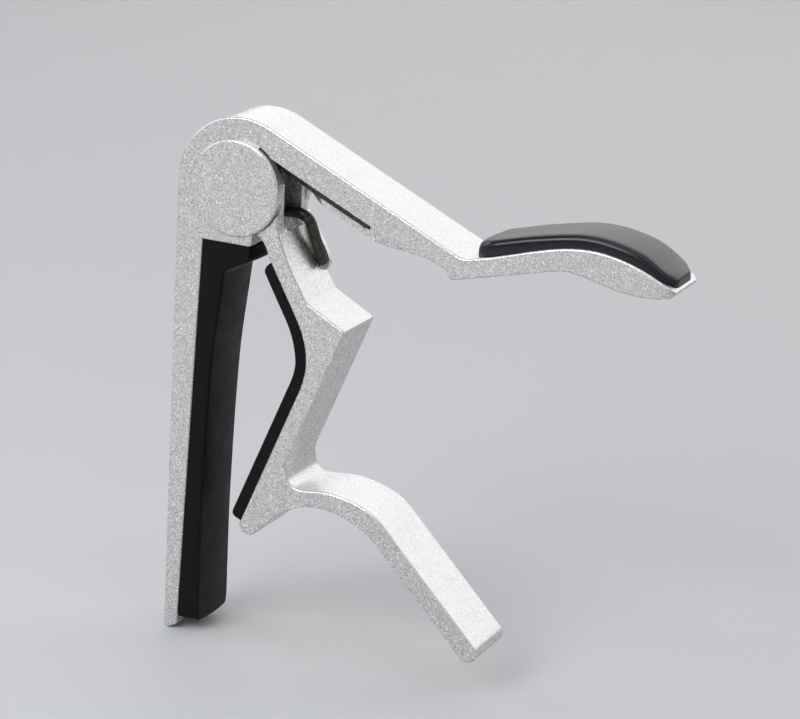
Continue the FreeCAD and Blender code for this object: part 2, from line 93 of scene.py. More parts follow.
# String pad: its lip and where its playing face starts, as x and the drop from the pad's top
LIP_HEIGHT = 2.75
LIP_HEEL = (-2.0, 5.25)
BELOW_HEEL = (-2.2, 8.0)
LIP_ROUND = 0.9
LIP_HEEL_ROUND = 1.4
FACE_START = (-2.35, 8.5)
FACE_START_WAY = (-0.11, -1.0)
FACE_MIDDLE = [(-3.9, -33.4), (-4.8, -60.0)]
FACE_END_X = -4.75
FACE_END_RISE = 0.8
FACE_END_WAY = (0.0, -1.0)
FACE_STEPS = 14
PAD_FOOT_ROUND = 0.7

# Saddle pad: the radius of its ends, and where rings stand along its two straight runs
SADDLE_END_ROUND = 1.3
JAW_STEPS = 16
RUN_SHARES = (0.0, 0.005, 0.01, 0.02, 0.03, 0.05, 0.1, 0.3, 0.5,
              0.7, 0.9, 0.95, 0.97, 0.98, 0.99, 0.995, 1.0)

# Handle grip: its crest, whose two ends are x from the grip's nearer end and z, then how far its
# end walls start below the crest and how round they are
CREST_START = (2.2, -1.95)
CREST_MIDDLE = [(57.0, 0.6), (65.8, 1.9), (74.0, 0.5)]
CREST_END = (1.3, -2.6)
CREST_STEPS = 10
HANDLE_STEPS = 12
INNER_DROP = 1.1
INNER_ROUND = 0.9
OUTER_DROP = 0.9
OUTER_ROUND = 0.8

# Torsion spring: the bends and ends of its two legs, as x, y and z
ARM_LEG = [(24.7, -3.6, -3.05), (13.3, -3.6, 2.1)]
ARM_LEG_BEND_X = 6.5
LEVER_LEG_BEND_X = 10.0
LEVER_LEG_BEND_Z = -4.9
LEVER_LEG_END = (12.55, 3.9, -13.8)
COIL_TURNS = 1.5
COIL_STEPS = 72

# Largest rounded edge, as a share of a pad's half width and of its height
EDGE_OF_WIDTH = 0.95
EDGE_OF_HEIGHT = 0.9

# Creases sharper than these stay sharp, in degrees
RUBBER_CREASE = 40
WIRE_CREASE = 50

# Finishes. Grain sizes, MM, and bump depths, DEPTH, are in millimetres. Pairs are low and high
# values, and a tone is a colour's brightness beside the piece's own.
NOISE_MIDDLE = (0.3, 0.7)
NONE_TO_FULL = (0.0, 1.0)

# Silver lacquer with painted glints (a few flakes painted white), and its sparkle painted calmer on
# faces that look up, where light washes it out
FLAKE_TONES = (0.68, 1.22)
PAINTED_GLINTS = (0.88, 0.95)
PAINTED_GLINT_COLOUR = (1.0, 1.0, 1.0)
TOPS = (0.1, 0.4)
TOP_CALM = 0.8
TOP_TILT = 0.3
LACQUER_CLOUD_MM = 6.0
LACQUER_CLOUDS = (0.35, 0.65)
LACQUER_CLOUD_SHARE = (0.0, 0.25)
LACQUER_CLOUD_TONE = 0.9
LACQUER_ROUGHNESS = (0.22, 0.48)
LACQUER_RIPPLE_MM = 1.2
LACQUER_RIPPLE_DEPTH = 0.006

# Rubber: dust, sheen, grain and the mould's slow waves, and the grip's tops painted lighter grey as
# a painted sheen
PAD_DUST = (0.02, 0.02, 0.021)
PAD_DUST_MM = 0.7
PAD_DUSTY = (0.6, 0.78)
PAD_DUST_SHARE = (0.0, 0.2)
PAD_SHEEN_MM = 3.0
PAD_ROUGHNESS = (0.36, 0.5)
PAD_GRAIN_MM = 0.12
PAD_GRAIN_DEPTH = 0.004
PAD_WAVE_MM = 2.5
GRIP_WORN_MM = 4.0
GRIP_WORN = (0.45, 0.75)
GRIP_WORN_SHARE = (0.0, 0.5)
GRIP_WORN_TONE = 2.2
# Lighter grey painted on the grip's tops: a painted sheen for the light the top reflects
GRIP_TOP_SHEEN = (0.075, 0.072, 0.067)
GRIP_TOP = (0.75, 0.95)
GRIP_ROUGHNESS = (0.17, 0.4)
GRIP_GRAIN_MM = 0.15
GRIP_GRAIN_DEPTH = 0.002
GRIP_WAVE_MM = 5.0
WAVE_DEPTH = 0.03

# Black oxide: mottle, and the specks worn through it
OXIDE_MOTTLE_MM = 0.9
OXIDE_MOTTLED = (0.4, 0.65)
OXIDE_MOTTLE_TONE = 2.5
OXIDE_SPECK_MM = 0.22
OXIDE_SPECKS = (0.54, 0.66)
OXIDE_SPECK_SHARE = (0.0, 0.85)
OXIDE_SPECK_COLOUR = (0.17, 0.14, 0.09)
OXIDE_SPECK_DEPTH = 0.008
OXIDE_METALLIC = (0.3, 0.9)
OXIDE_ROUGHNESS = (0.24, 0.42)

# Turned metal, whose roughness is a share of the piece's own, and nylon
TURNED_CLOUD_MM = 2.0
TURNED_TONES = (0.85, 1.08)
TURNED_ROUGHNESS = (0.8, 1.3)
LATHE_RING_MM = 0.25
LATHE_RING_STRETCH = (0.15, 1.0, 0.15)
LATHE_RING_DEPTH = 0.006
PIN_ROUGHNESS = 0.25
BUSH_ROUGHNESS = 0.3
NYLON_CLOUD_MM = 1.5
NYLON_TONES = (0.94, 1.03)
NYLON_HAZE_MM = 0.6
NYLON_ROUGHNESS = (0.42, 0.58)
NYLON_GRAIN_MM = 0.2
NYLON_GRAIN_DEPTH = 0.005

# Studio, in metres from the capo's middle
FLOOR_R = 1.1
FLOOR_INNER_R = 0.4
FLOOR_SIDES = 96
FLOOR_ROUGHNESS = 0.7
SWEEP_R = 0.6
SWEEP_STEPS = 12
WALL_TOP = 1.6
WALL_GLOW = 0.22
WALL_TO_FLOOR = (0.4, 1.0)
SKY_TINT = (0.97, 0.98, 1.0)
BACK_PLACE = (0.10, 0.62, 0.44)
BACK_SIZE = (1.5, 0.8)
FRONT_PLACE = (-0.17, -0.40, 0.30)
FRONT_AIM = (-0.15, -0.34, -0.05)
FRONT_SIZE = (0.3, 0.3)
LEFT_PLACE = (-0.70, 0.06, 0.34)
LEFT_SIZE = (0.4, 0.4)
STRIP_PLACE = (0.08, -0.17, 0.52)
STRIP_SIZE = (0.8, 0.16)
CAPO_AIM = (0.0, 0.0, 0.0)
SENSOR_MM = 36.0
NEAREST_SEEN = 0.01
FURTHEST_SEEN = 20.0


# ---------------------------------------------------------------- shapes

def place(x, y, z):
    """A point given in millimetres from the middle of the pivot."""
    return PIVOT + Vector((x, y, z)) * MM


def smooth_points(points, steps, leave=None, arrive=None):
    """A smooth run of points through the given ones, with directions at its ends if given."""
    knots = [Vector(point) for point in points]
    ways = []
    for i in range(len(knots)):
        before = knots[max(i - 1, 0)]
        after = knots[min(i + 1, len(knots) - 1)]
        ways.append((after - before).normalized())
    if leave:
        ways[0] = Vector(leave).normalized()
    if arrive:
        ways[-1] = Vector(arrive).normalized()
    run = [knots[0]]
    for i in range(len(knots) - 1):
        start, end = knots[i], knots[i + 1]
        reach = (end - start).length
        for step in range(1, steps + 1):
            t = step / steps
            a = (1 + 2 * t) * (1 - t) ** 2
            b = t * (1 - t) ** 2 * reach
            c = t * t * (3 - 2 * t)
            d = t * t * (t - 1) * reach
            run.append(start * a + ways[i] * b + end * c + ways[i + 1] * d)
    return run


def rounded_corner(before, corner, after, radius, steps=6):
    """The points of an arc that replaces a corner."""
    corner = Vector(corner)
    back = (Vector(before) - corner).normalized()
    ahead = (Vector(after) - corner).normalized()
    half = back.angle(ahead) / 2
    centre = corner + (back + ahead).normalized() * (radius / math.sin(half))
    reach = radius / math.tan(half)
    start = corner + back * reach - centre
    end = corner + ahead * reach - centre
    whole = start.angle(end)
    arc = []
    for step in range(steps + 1):
        t = step / steps
        mixed = start * math.sin((1 - t) * whole) + end * math.sin(t * whole)
        arc.append(centre + mixed / math.sin(whole))
    return arc


def polyline_at(points, key, value, at):
    """Looks one coordinate up by another, along points that rise or fall steadily."""
    pairs = sorted((point[key], point[value]) for point in points)
    if at <= pairs[0][0]:
        return pairs[0][1]
    for (low, first), (high, last) in zip(pairs, pairs[1:]):
        if at <= high:
            share = (at - low) / max(high - low, 1e-9)
            return first + share * (last - first)
    return pairs[-1][1]


def loft(name, rings, close_ends=True):
    """One mesh object from rings of points that all have the same count."""
    mesh = bmesh.new()
    rows = [[mesh.verts.new(point) for point in ring] for ring in rings]
    count = len(rings[0])
    for near, far in zip(rows, rows[1:]):
        for i in range(count):
            j = (i + 1) % count
            mesh.faces.new((near[i], near[j], far[j], far[i]))
    if close_ends:
        mesh.faces.new(rows[0][::-1])
        mesh.faces.new(rows[-1])
    bmesh.ops.recalc_face_normals(mesh, faces=mesh.faces)
    data = bpy.data.meshes.new(name)
    mesh.to_mesh(data)
    mesh.free()
    for polygon in data.polygons:
        polygon.use_smooth = True
    piece = bpy.data.objects.new(name, data)
    bpy.context.scene.collection.objects.link(piece)
    return piece


def shade_by_angle(piece, degrees):
    """Keeps creases sharper than the angle and shades the rest smooth."""
    data = piece.data
    mesh = bmesh.new()
    mesh.from_mesh(data)
    limit = math.radians(degrees)
    for edge in mesh.edges:
        edge.smooth = len(edge.link_faces) == 2 and edge.calc_face_angle(0.0) < limit
    mesh.to_mesh(data)
    mesh.free()


def pad_section(half_width, low, high, edge, crown, steps=6, across=12):
    """A closed section in (side, height): flat below, rounded upper edges and a crowned top."""
    edge = min(edge, half_width * EDGE_OF_WIDTH, (high - low) * EDGE_OF_HEIGHT)
    rounded = []
    for step in range(steps + 1):
        turn = math.pi / 2 * step / steps
        side = half_width - edge * (1 - math.cos(turn))
        rounded.append((side, high - edge * (1 - math.sin(turn))))
    flat = half_width - edge
    top = []
    for step in range(1, across):
        side = -flat + 2 * flat * step / across
        top.append((side, high + crown * (1 - (side / max(flat, 1e-6)) ** 2)))
    left = [(-half_width, low)] + [(-side, height) for side, height in rounded]
    return left + top + rounded[::-1] + [(half_width, low)]


def end_taper(distance, radius):
    """How much narrower a rounded end is, at a distance from its tip."""
    if distance >= radius:
        return 0.0
    return radius - math.sqrt(max(radius ** 2 - (radius - distance) ** 2, 0.0))


def wire_path(corners, radius, steps=8):
    """Straight runs from corner to corner, with an arc at each but the two ends."""
    path = [corners[0]]
    for before, corner, after in zip(corners, corners[1:], corners[2:]):
        path += rounded_corner(before, corner, after, radius, steps)
    path.append(corners[-1])
    return path


def wire_end(end_round, steps=4):
    """Distance from the tip and size of each ring that rounds a wire's end, in radii."""
    rings = []
    for step in range(steps + 1):
        turn = math.pi / 2 * step / steps
        rings.append((end_round * (1 - math.cos(turn)), 1 - end_round * (1 - math.sin(turn))))
    return rings


def tube(name, path, radius, around=20, end_round=0.3):
    """A round wire along a path, with softly rounded ends."""
    last = len(path) - 1
    rings = []
    side = (path[1] - path[0]).orthogonal().normalized()
    for i, centre in enumerate(path):
        way = (path[min(i + 1, last)] - path[max(i - 1, 0)]).normalized()
        side = (side - way * side.dot(way)).normalized()
        other = way.cross(side)
        sizes = [(0.0, 1.0)]
        if i == 0:
            sizes = wire_end(end_round)
        elif i == last:
            sizes = [(-depth, size) for depth, size in reversed(wire_end(end_round))]
        for along, size in sizes:
            ring = []
            for step in range(around):
                turn = 2 * math.pi * step / around
                spoke = side * math.cos(turn) + other * math.sin(turn)
                ring.append(centre + (way * along + spoke * size) * radius)
            rings.append(ring)
    return loft(name, rings)


# ---------------------------------------------------------------- sizes and finishes

def size(name, description, default):
    """A length in millimetres."""
    return FloatProperty(name=name, description=description, default=default, min=0.0)


def colour(name, description, default):
    """A colour with three channels."""
    return FloatVectorProperty(name=name, description=description, default=default,
                               size=3, min=0.0, max=1.0, subtype="COLOR")


def power(name, description, default):
    """A light's power in watts."""
    return FloatProperty(name=name, description=description, default=default,
                         min=0.0, unit="POWER")


class CapoSizes(bpy.types.PropertyGroup):
    """Sizes of the rubber pieces and the spring"""
    pad_half_width: size("String pad half width", "Half the string pad's width, in mm", 5.7)
    pad_edge: size("String pad edge", "Radius of the string pad's edges, in mm", 0.55)
    pad_crown: size("String pad crown", "How far the playing face bulges, in mm", 0.3)
    pad_end: size("String pad end", "Radius of the string pad's lower corners, in mm", 1.7)
    saddle_half_width: size("Saddle pad half width", "Half the saddle pad's width, in mm", 5.6)
    saddle_thickness: size("Saddle pad thickness", "Thickness of the saddle pad, in mm", 2.35)
    saddle_edge: size("Saddle pad edge", "Radius of the saddle pad's edges, in mm", 0.5)
    grip_half_width: size("Grip half width", "Half the handle grip's width, in mm", 5.6)
    grip_edge: size("Grip edge", "Radius of the grip's upper edges, in mm", 1.3)
    grip_crown: size("Grip crown", "How far the grip's top bulges, in mm", 0.1)
    grip_end: size("Grip ends", "Radius of the grip's corners seen from above, in mm", 3.0)
    wire: size("Wire radius", "Radius of the spring's wire, in mm", 1.0)
    coil: size("Coil radius", "Radius of the spring's coil, in mm", 4.9)
    coil_pitch: size("Coil pitch", "Distance from one turn to the next, in mm", 2.2)
    wire_bend: size("Wire bend", "Radius of the bends in the spring's legs, in mm", 2.5)


class CapoFinishes(bpy.types.PropertyGroup):
    """Colours of the pieces and the studio, and the lacquer's flakes"""
    casting: colour("Casting", "Satin silver of the two castings", (0.66, 0.66, 0.655))
    cap: colour("Caps", "Satin silver of the two caps", (0.68, 0.67, 0.65))
    pad: colour("Pads", "Black rubber of the two pads", (0.0045, 0.0045, 0.005))
    grip: colour("Grip", "Black rubber of the grip", (0.005, 0.006, 0.009))
    spring: colour("Spring", "Black oxide of the spring", (0.020, 0.018, 0.016))
    pin: colour("Pin", "Ground steel of the pin", (0.50, 0.50, 0.51))
    nylon: colour("Nylon", "Off-white of the washers and sleeve", (0.72, 0.71, 0.67))
    brass: colour("Brass", "Turned brass of the bushes", (0.66, 0.50, 0.26))
    floor: colour("Floor", "Pale studio floor", (0.50, 0.50, 0.505))
    wall: colour("Wall", "White wall that the floor curves up into", (0.9, 0.9, 0.905))
    flake: size("Flake size", "Size of the sparkle's flakes, in mm", 0.19)
    flake_tilt: FloatProperty(name="Flake tilt", description="How far the flakes lean",
                              default=0.24, min=0.0)


class CapoStudio(bpy.types.PropertyGroup):
    """Camera and lights"""
    azimuth: FloatProperty(name="Azimuth", description="Camera's turn round from the front",
                           default=math.radians(24.358), unit="ROTATION")
    elevation: FloatProperty(name="Elevation", description="Camera's height above the horizon",
                             default=math.radians(17.351), unit="ROTATION")
    roll: FloatProperty(name="Roll", description="Camera's turn about its own line of sight",
                        default=math.radians(3.273), unit="ROTATION")
    distance: FloatProperty(name="Distance", description="Camera to the aim point",
                            default=0.50144, unit="LENGTH")
    aim_right: FloatProperty(name="Aim right", description="Aim point right of the capo's middle",
                             default=-0.00412, unit="LENGTH")
    aim_up: FloatProperty(name="Aim up", description="Aim point above the capo's middle",
                          default=0.00898, unit="LENGTH")
    lens: size("Lens", "Focal length of the camera, in mm", 129.86)
    back_power: power("Back light", "Power of the large softbox behind the capo", 3.6)
    front_power: power("Front light", "Power of the softbox over the floor in front", 1.7)
    left_power: power("Left light", "Power of the softbox on the left", 1.3)
    strip_power: power("Strip light", "Power of the long softbox overhead", 0.8)
    warm: colour("Warm light", "Colour of the back and front softboxes", (1.0, 0.988, 0.975))
    cool: colour("Cool light", "Colour of the left and strip softboxes", (0.80, 0.90, 1.0))
    sky: FloatProperty(name="Surround", description="Strength of the pale surround",
                       default=0.38, min=0.0)


# ---------------------------------------------------------------- finishes

class Finish:
    """A material under construction, with short calls for its nodes."""

    def __init__(self, name, base, metallic, roughness, gloss=0.5):
        self.material = bpy.data.materials.new(name)
        self.material.use_nodes = True
        self.tree = self.material.node_tree
        self.tree.nodes.clear()
        self.shader = self.tree.nodes.new("ShaderNodeBsdfPrincipled")
        output = self.tree.nodes.new("ShaderNodeOutputMaterial")
        self.link(self.shader.outputs["BSDF"], output.inputs["Surface"])
        self.shader.inputs["Base Color"].default_value = (*base, 1.0)
        self.shader.inputs["Metallic"].default_value = metallic
        self.shader.inputs["Roughness"].default_value = roughness
        self.shader.inputs["Specular IOR Level"].default_value = gloss
        self.where = self.tree.nodes.new("ShaderNodeTexCoord").outputs["Object"]

    def link(self, output, socket):
        """Joins an output to a socket."""
        self.tree.links.new(output, socket)

    def noise(self, grain_mm, detail=2.0, stretch=None):
        """Cloudy noise with grains of about the given size, from 0 to 1."""
        node = self.tree.nodes.new("ShaderNodeTexNoise")
        node.inputs["Scale"].default_value = 1 / (grain_mm * MM)
        node.inputs["Detail"].default_value = detail
        where = self.where
        if stretch:
            mapping = self.tree.nodes.new("ShaderNodeMapping")
            mapping.inputs["Scale"].default_value = stretch
            self.link(self.where, mapping.inputs["Vector"])
            where = mapping.outputs["Vector"]
        self.link(where, node.inputs["Vector"])
        return node.outputs["Fac"]

    def flakes(self, grain_mm):
        """Cells of the given size, each with its own random colour."""
        node = self.tree.nodes.new("ShaderNodeTexVoronoi")
        node.inputs["Scale"].default_value = 1 / (grain_mm * MM)
        self.link(self.where, node.inputs["Vector"])
        return node.outputs["Color"]

    def fit(self, value, old, new):
        """Stretches a value from one (low, high) range to another."""
        node = self.tree.nodes.new("ShaderNodeMapRange")
        for socket, number in zip(("From Min", "From Max", "To Min", "To Max"), (*old, *new)):
            node.inputs[socket].default_value = number
        self.link(value, node.inputs["Value"])
        return node.outputs["Result"]

    def channels(self, value):
        """The three channels of a colour."""
        node = self.tree.nodes.new("ShaderNodeSeparateColor")
        self.link(value, node.inputs["Color"])
        return node.outputs

    def mix(self, amount, first, second):
        """A colour between two colours, the first at 0 and the second at 1."""
        node = self.tree.nodes.new("ShaderNodeMix")
        node.data_type = "RGBA"
        self.link(amount, node.inputs["Factor"])
        for socket, value in ((node.inputs[6], first), (node.inputs[7], second)):
            if isinstance(value, bpy.types.NodeSocket):
                self.link(value, socket)
            else:
                socket.default_value = (*value, 1.0)
        return node.outputs[2]

    def bump(self, height, depth_mm, normal=None):
        """Raises and lowers the surface by up to the given depth."""
        node = self.tree.nodes.new("ShaderNodeBump")
        node.inputs["Strength"].default_value = 1.0
        node.inputs["Distance"].default_value = depth_mm * MM
        self.link(height, node.inputs["Height"])
        if normal:
            self.link(normal, node.inputs["Normal"])
        return node.outputs["Normal"]

    def tilted(self, random_colour, tilt):
        """The surface's direction, leaning at random by up to the tilt in each flake."""
        centred = self.vector("SUBTRACT", random_colour)
        centred.node.inputs[1].default_value = (0.5, 0.5, 0.5)
        leaning = self.vector("SCALE", centred)
        self.link(tilt, leaning.node.inputs["Scale"])
        geometry = self.tree.nodes.new("ShaderNodeNewGeometry")
        turned = self.vector("ADD", leaning)
        self.link(geometry.outputs["Normal"], turned.node.inputs[1])
        return self.vector("NORMALIZE", turned)

    def vector(self, operation, first):
        """A vector sum or product, whose other inputs are set by the caller."""
        node = self.tree.nodes.new("ShaderNodeVectorMath")
        node.operation = operation
        self.link(first, node.inputs[0])
        return node.outputs["Vector"]

    def facing_up(self, turned, values=NONE_TO_FULL):
        """The first value on sides and the second on tops, by how far up the surface faces."""
        geometry = self.tree.nodes.new("ShaderNodeNewGeometry")
        parts = self.tree.nodes.new("ShaderNodeSeparateXYZ")
        self.link(geometry.outputs["Normal"], parts.inputs["Vector"])
        return self.fit(parts.outputs["Z"], turned, values)

    def use(self, socket, value):
        """Feeds a value to one of the shader's sockets."""
        self.link(value, self.shader.inputs[socket])


def shade(base, factor):
    """A lighter or darker version of a colour."""
    return tuple(min(channel * factor, 1.0) for channel in base)


def satin_casting(name, base, finishes):
    """Silver lacquer full of small flakes over a die casting, with painted glints on a few flakes
    and tops painted plain where light washes the sparkle out.
    """
    finish = Finish(name, base, metallic=0.85, roughness=0.4)
    flakes = finish.flakes(finishes.flake)
    bright, gloss, glint_pick = finish.channels(flakes)
    dark, light = (shade(base, tone) for tone in FLAKE_TONES)
    toned = finish.mix(bright, dark, light)
    # A few flakes are painted white: painted glints
    toned = finish.mix(finish.fit(glint_pick, PAINTED_GLINTS, NONE_TO_FULL), toned, PAINTED_GLINT_COLOUR)
    # Faces that look up are painted plain base colour, standing in for light that washes their
    # sparkle out
    toned = finish.mix(finish.facing_up(TOPS, (0.0, TOP_CALM)), toned, base)
    clouds = finish.noise(LACQUER_CLOUD_MM, detail=3.0)
    clouds = finish.fit(clouds, LACQUER_CLOUDS, LACQUER_CLOUD_SHARE)
    finish.use("Base Color", finish.mix(clouds, toned, shade(base, LACQUER_CLOUD_TONE)))
    finish.use("Roughness", finish.fit(gloss, NONE_TO_FULL, LACQUER_ROUGHNESS))
    tilt = finish.facing_up(TOPS, (finishes.flake_tilt, finishes.flake_tilt * TOP_TILT))
    ripple = finish.noise(LACQUER_RIPPLE_MM)
    finish.use("Normal", finish.bump(ripple, LACQUER_RIPPLE_DEPTH, finish.tilted(flakes, tilt)))
    return finish.material


def moulded_pad(finishes):
    """Satin rubber with a fine grain and a little dust, made once for the two pads."""
    if "moulded_pad" in bpy.data.materials:
        return bpy.data.materials["moulded_pad"]
    finish = Finish("moulded_pad", finishes.pad, metallic=0.0, roughness=0.42, gloss=0.12)
    dust = finish.fit(finish.noise(PAD_DUST_MM, detail=6.0), PAD_DUSTY, PAD_DUST_SHARE)
    finish.use("Base Color", finish.mix(dust, finishes.pad, PAD_DUST))
    sheen = finish.noise(PAD_SHEEN_MM, detail=4.0)
    finish.use("Roughness", finish.fit(sheen, NOISE_MIDDLE, PAD_ROUGHNESS))
    fine = finish.bump(finish.noise(PAD_GRAIN_MM), PAD_GRAIN_DEPTH)
    finish.use("Normal", finish.bump(finish.noise(PAD_WAVE_MM), WAVE_DEPTH, fine))
    return finish.material


def moulded_grip(base):
    """Glossier moulded rubber, polished by the hand, with a painted sheen of lighter grey on its
    tops.
    """
    finish = Finish("moulded_grip", base, metallic=0.0, roughness=0.3, gloss=0.35)
    worn = finish.fit(finish.noise(GRIP_WORN_MM, detail=5.0), GRIP_WORN, GRIP_WORN_SHARE)
    toned = finish.mix(worn, base, shade(base, GRIP_WORN_TONE))
    # Tops are painted lighter grey: a painted sheen
    finish.use("Base Color", finish.mix(finish.facing_up(GRIP_TOP), toned, GRIP_TOP_SHEEN))
    finish.use("Roughness", finish.facing_up(GRIP_TOP, GRIP_ROUGHNESS))
    fine = finish.bump(finish.noise(GRIP_GRAIN_MM), GRIP_GRAIN_DEPTH)
    finish.use("Normal", finish.bump(finish.noise(GRIP_WAVE_MM), WAVE_DEPTH, fine))
    return finish.material


def oxide_wire(base):
    """Black oxide on drawn wire, worn to brown metal in fine specks."""
    finish = Finish("oxide_wire", base, metallic=0.5, roughness=0.3, gloss=0.4)
    mottle = finish.noise(OXIDE_MOTTLE_MM, detail=4.0)
    specks = finish.noise(OXIDE_SPECK_MM, detail=3.0)
    mottled = finish.fit(mottle, OXIDE_MOTTLED, NONE_TO_FULL)
    toned = finish.mix(mottled, base, shade(base, OXIDE_MOTTLE_TONE))
    worn = finish.fit(specks, OXIDE_SPECKS, OXIDE_SPECK_SHARE)
    finish.use("Base Color", finish.mix(worn, toned, OXIDE_SPECK_COLOUR))
    finish.use("Metallic", finish.fit(specks, OXIDE_SPECKS, OXIDE_METALLIC))
    finish.use("Roughness", finish.fit(mottle, NOISE_MIDDLE, OXIDE_ROUGHNESS))
    finish.use("Normal", finish.bump(specks, OXIDE_SPECK_DEPTH))
    return finish.material


def turned_metal(name, base, roughness):
    """Steel or brass with rings left by the lathe."""
    finish = Finish(name, base, metallic=1.0, roughness=roughness)
    clouds = finish.noise(TURNED_CLOUD_MM, detail=3.0)
    dark, light = (shade(base, tone) for tone in TURNED_TONES)
    finish.use("Base Color", finish.mix(clouds, dark, light))
    rings = finish.noise(LATHE_RING_MM, detail=3.0, stretch=LATHE_RING_STRETCH)
    rough = [roughness * share for share in TURNED_ROUGHNESS]
    finish.use("Roughness", finish.fit(rings, NOISE_MIDDLE, rough))
    finish.use("Normal", finish.bump(rings, LATHE_RING_DEPTH))
    return finish.material


def moulded_nylon(base):
    """Off-white nylon with a faint haze."""
    finish = Finish("moulded_nylon", base, metallic=0.0, roughness=0.5)
    clouds = finish.noise(NYLON_CLOUD_MM, detail=3.0)
    dark, light = (shade(base, tone) for tone in NYLON_TONES)
    finish.use("Base Color", finish.mix(clouds, dark, light))
    haze = finish.noise(NYLON_HAZE_MM, detail=3.0)
    finish.use("Roughness", finish.fit(haze, NOISE_MIDDLE, NYLON_ROUGHNESS))
    finish.use("Normal", finish.bump(finish.noise(NYLON_GRAIN_MM), NYLON_GRAIN_DEPTH))
    return finish.material


def dress(piece, material):
    """Gives a piece its one material."""
    piece.data.materials.clear()
    piece.data.materials.append(material)


def stand_for(piece, node, body):
    """The piece takes a plain solid's place, and rides on its body."""
    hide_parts(node)
    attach(piece, body)


# ---------------------------------------------------------------- operators

class CAPO_OT_string_pad(bpy.types.Operator):
    """Makes the rubber strip on the string bar, with its lip under the hub"""
    bl_idname = "capo.string_pad"
    bl_label = "String pad"

    def execute(self, context):
        sizes = context.scene.capo_sizes
        low, high = (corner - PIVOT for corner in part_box("string_pad"))
        top, end, reach = high.z / MM, low.z / MM, high.x / MM
        start, tip = (reach, top), (reach, top - LIP_HEIGHT)
        heel, below = ((x, top - drop) for x, drop in (LIP_HEEL, BELOW_HEEL))
        outline = [Vector(start)]
        outline += rounded_corner(start, tip, heel, LIP_ROUND)
        outline += rounded_corner(tip, heel, below, LIP_HEEL_ROUND)
        face_start = (FACE_START[0], top - FACE_START[1])
        face_end = (FACE_END_X, end + FACE_END_RISE)
        outline += smooth_points([face_start, *FACE_MIDDLE, face_end], FACE_STEPS,
                                 leave=FACE_START_WAY, arrive=FACE_END_WAY)
        foot = (FACE_END_X, end)
        outline += rounded_corner(face_end, foot, (BAR_FACE[0][0], end), PAD_FOOT_ROUND)
        rings = []
        for x, z in outline:
            back = polyline_at(BAR_FACE, 1, 0, z) - BEDDED
            front = max(x, back + 2 * BEDDED)
            half = sizes.pad_half_width - end_taper(z - end, sizes.pad_end)
            section = pad_section(half, back, front, sizes.pad_edge, sizes.pad_crown)
            rings.append([place(height, side, z) for side, height in section])
        piece = loft("string_pad_rubber", rings)
        shade_by_angle(piece, RUBBER_CREASE)
        dress(piece, moulded_pad(context.scene.capo_finishes))
        stand_for(piece, "string_pad", "frame")
        return {"FINISHED"}


class CAPO_OT_saddle_pad(bpy.types.Operator):
    """Makes the curved rubber that rests on the back of the neck"""
    bl_idname = "capo.saddle_pad"
    bl_label = "Saddle pad"

    def execute(self, context):
        sizes = context.scene.capo_sizes
        upper = Vector(JAW_UPPER[1]) - Vector(JAW_UPPER[0])
        lower = Vector(JAW_LOWER[1]) - Vector(JAW_LOWER[0])
        jaw = smooth_points([JAW_UPPER[1], JAW_BULGE, JAW_LOWER[0]], JAW_STEPS,
                            leave=upper, arrive=lower)
        ends = []
        for start, end in ((Vector(JAW_UPPER[0]), jaw[0]), (jaw[-1], Vector(JAW_LOWER[1]))):
            ends.append([start.lerp(end, share) for share in RUN_SHARES])
        route = ends[0][:-1] + jaw + ends[1][1:]
        lengths = [0.0]
        for before, after in zip(route, route[1:]):
            lengths.append(lengths[-1] + (after - before).length)
        rings = []
        for i, (point, length) in enumerate(zip(route, lengths)):
            way = (route[min(i + 1, len(route) - 1)] - route[max(i - 1, 0)]).normalized()
            out = Vector((way.y, -way.x))
            taper = end_taper(min(length, lengths[-1] - length), SADDLE_END_ROUND)
            high = sizes.saddle_thickness - taper
            half = sizes.saddle_half_width - taper
            ring = []
            for side, height in pad_section(half, -BEDDED, high, sizes.saddle_edge, 0.0):
                spot = point + out * height
                ring.append(place(spot.x, side, spot.y))
            rings.append(ring)
        piece = loft("saddle_pad_rubber", rings)
        shade_by_angle(piece, RUBBER_CREASE)
        dress(piece, moulded_pad(context.scene.capo_finishes))
        stand_for(piece, "saddle_pad", "lever")
        return {"FINISHED"}


class CAPO_OT_handle_grip(bpy.types.Operator):
    """Makes the rubber cover along the top of the handle"""
    bl_idname = "capo.handle_grip"
    bl_label = "Handle grip"

    def execute(self, context):
        sizes = context.scene.capo_sizes
        metal = smooth_points(HANDLE_TOP, HANDLE_STEPS)
        low, high = (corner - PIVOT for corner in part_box("handle_grip"))
        start, end = low.x / MM, high.x / MM
        crest_start = (start + CREST_START[0], CREST_START[1])
        crest_end = (end - CREST_END[0], CREST_END[1])
        crest = smooth_points([crest_start, *CREST_MIDDLE, crest_end], CREST_STEPS)
        inner = (start, crest[0].y - INNER_DROP)
        outer = (end, crest[-1].y - OUTER_DROP)
        inner_foot = Vector((start, polyline_at(metal, 0, 1, start) + BEDDED))
        outer_foot = Vector((end, polyline_at(metal, 0, 1, end) + BEDDED))
        outline = [inner_foot]
        outline += rounded_corner(inner_foot, inner, crest[0], INNER_ROUND)
        outline += crest
        outline += rounded_corner(crest[-1], outer, outer_foot, OUTER_ROUND)
        outline.append(outer_foot)
        rings = []
        for x, z in outline:
            under = polyline_at(metal, 0, 1, x) - BEDDED
            top = max(z, under + BEDDED)
            half = sizes.grip_half_width - end_taper(min(x - start, end - x), sizes.grip_end)
            section = pad_section(half, under, top, sizes.grip_edge, sizes.grip_crown)
            rings.append([place(x, side, height) for side, height in section])
        piece = loft("handle_grip_rubber", rings)
        shade_by_angle(piece, RUBBER_CREASE)
        dress(piece, moulded_grip(context.scene.capo_finishes.grip))
        stand_for(piece, "handle_grip", "frame")
        return {"FINISHED"}


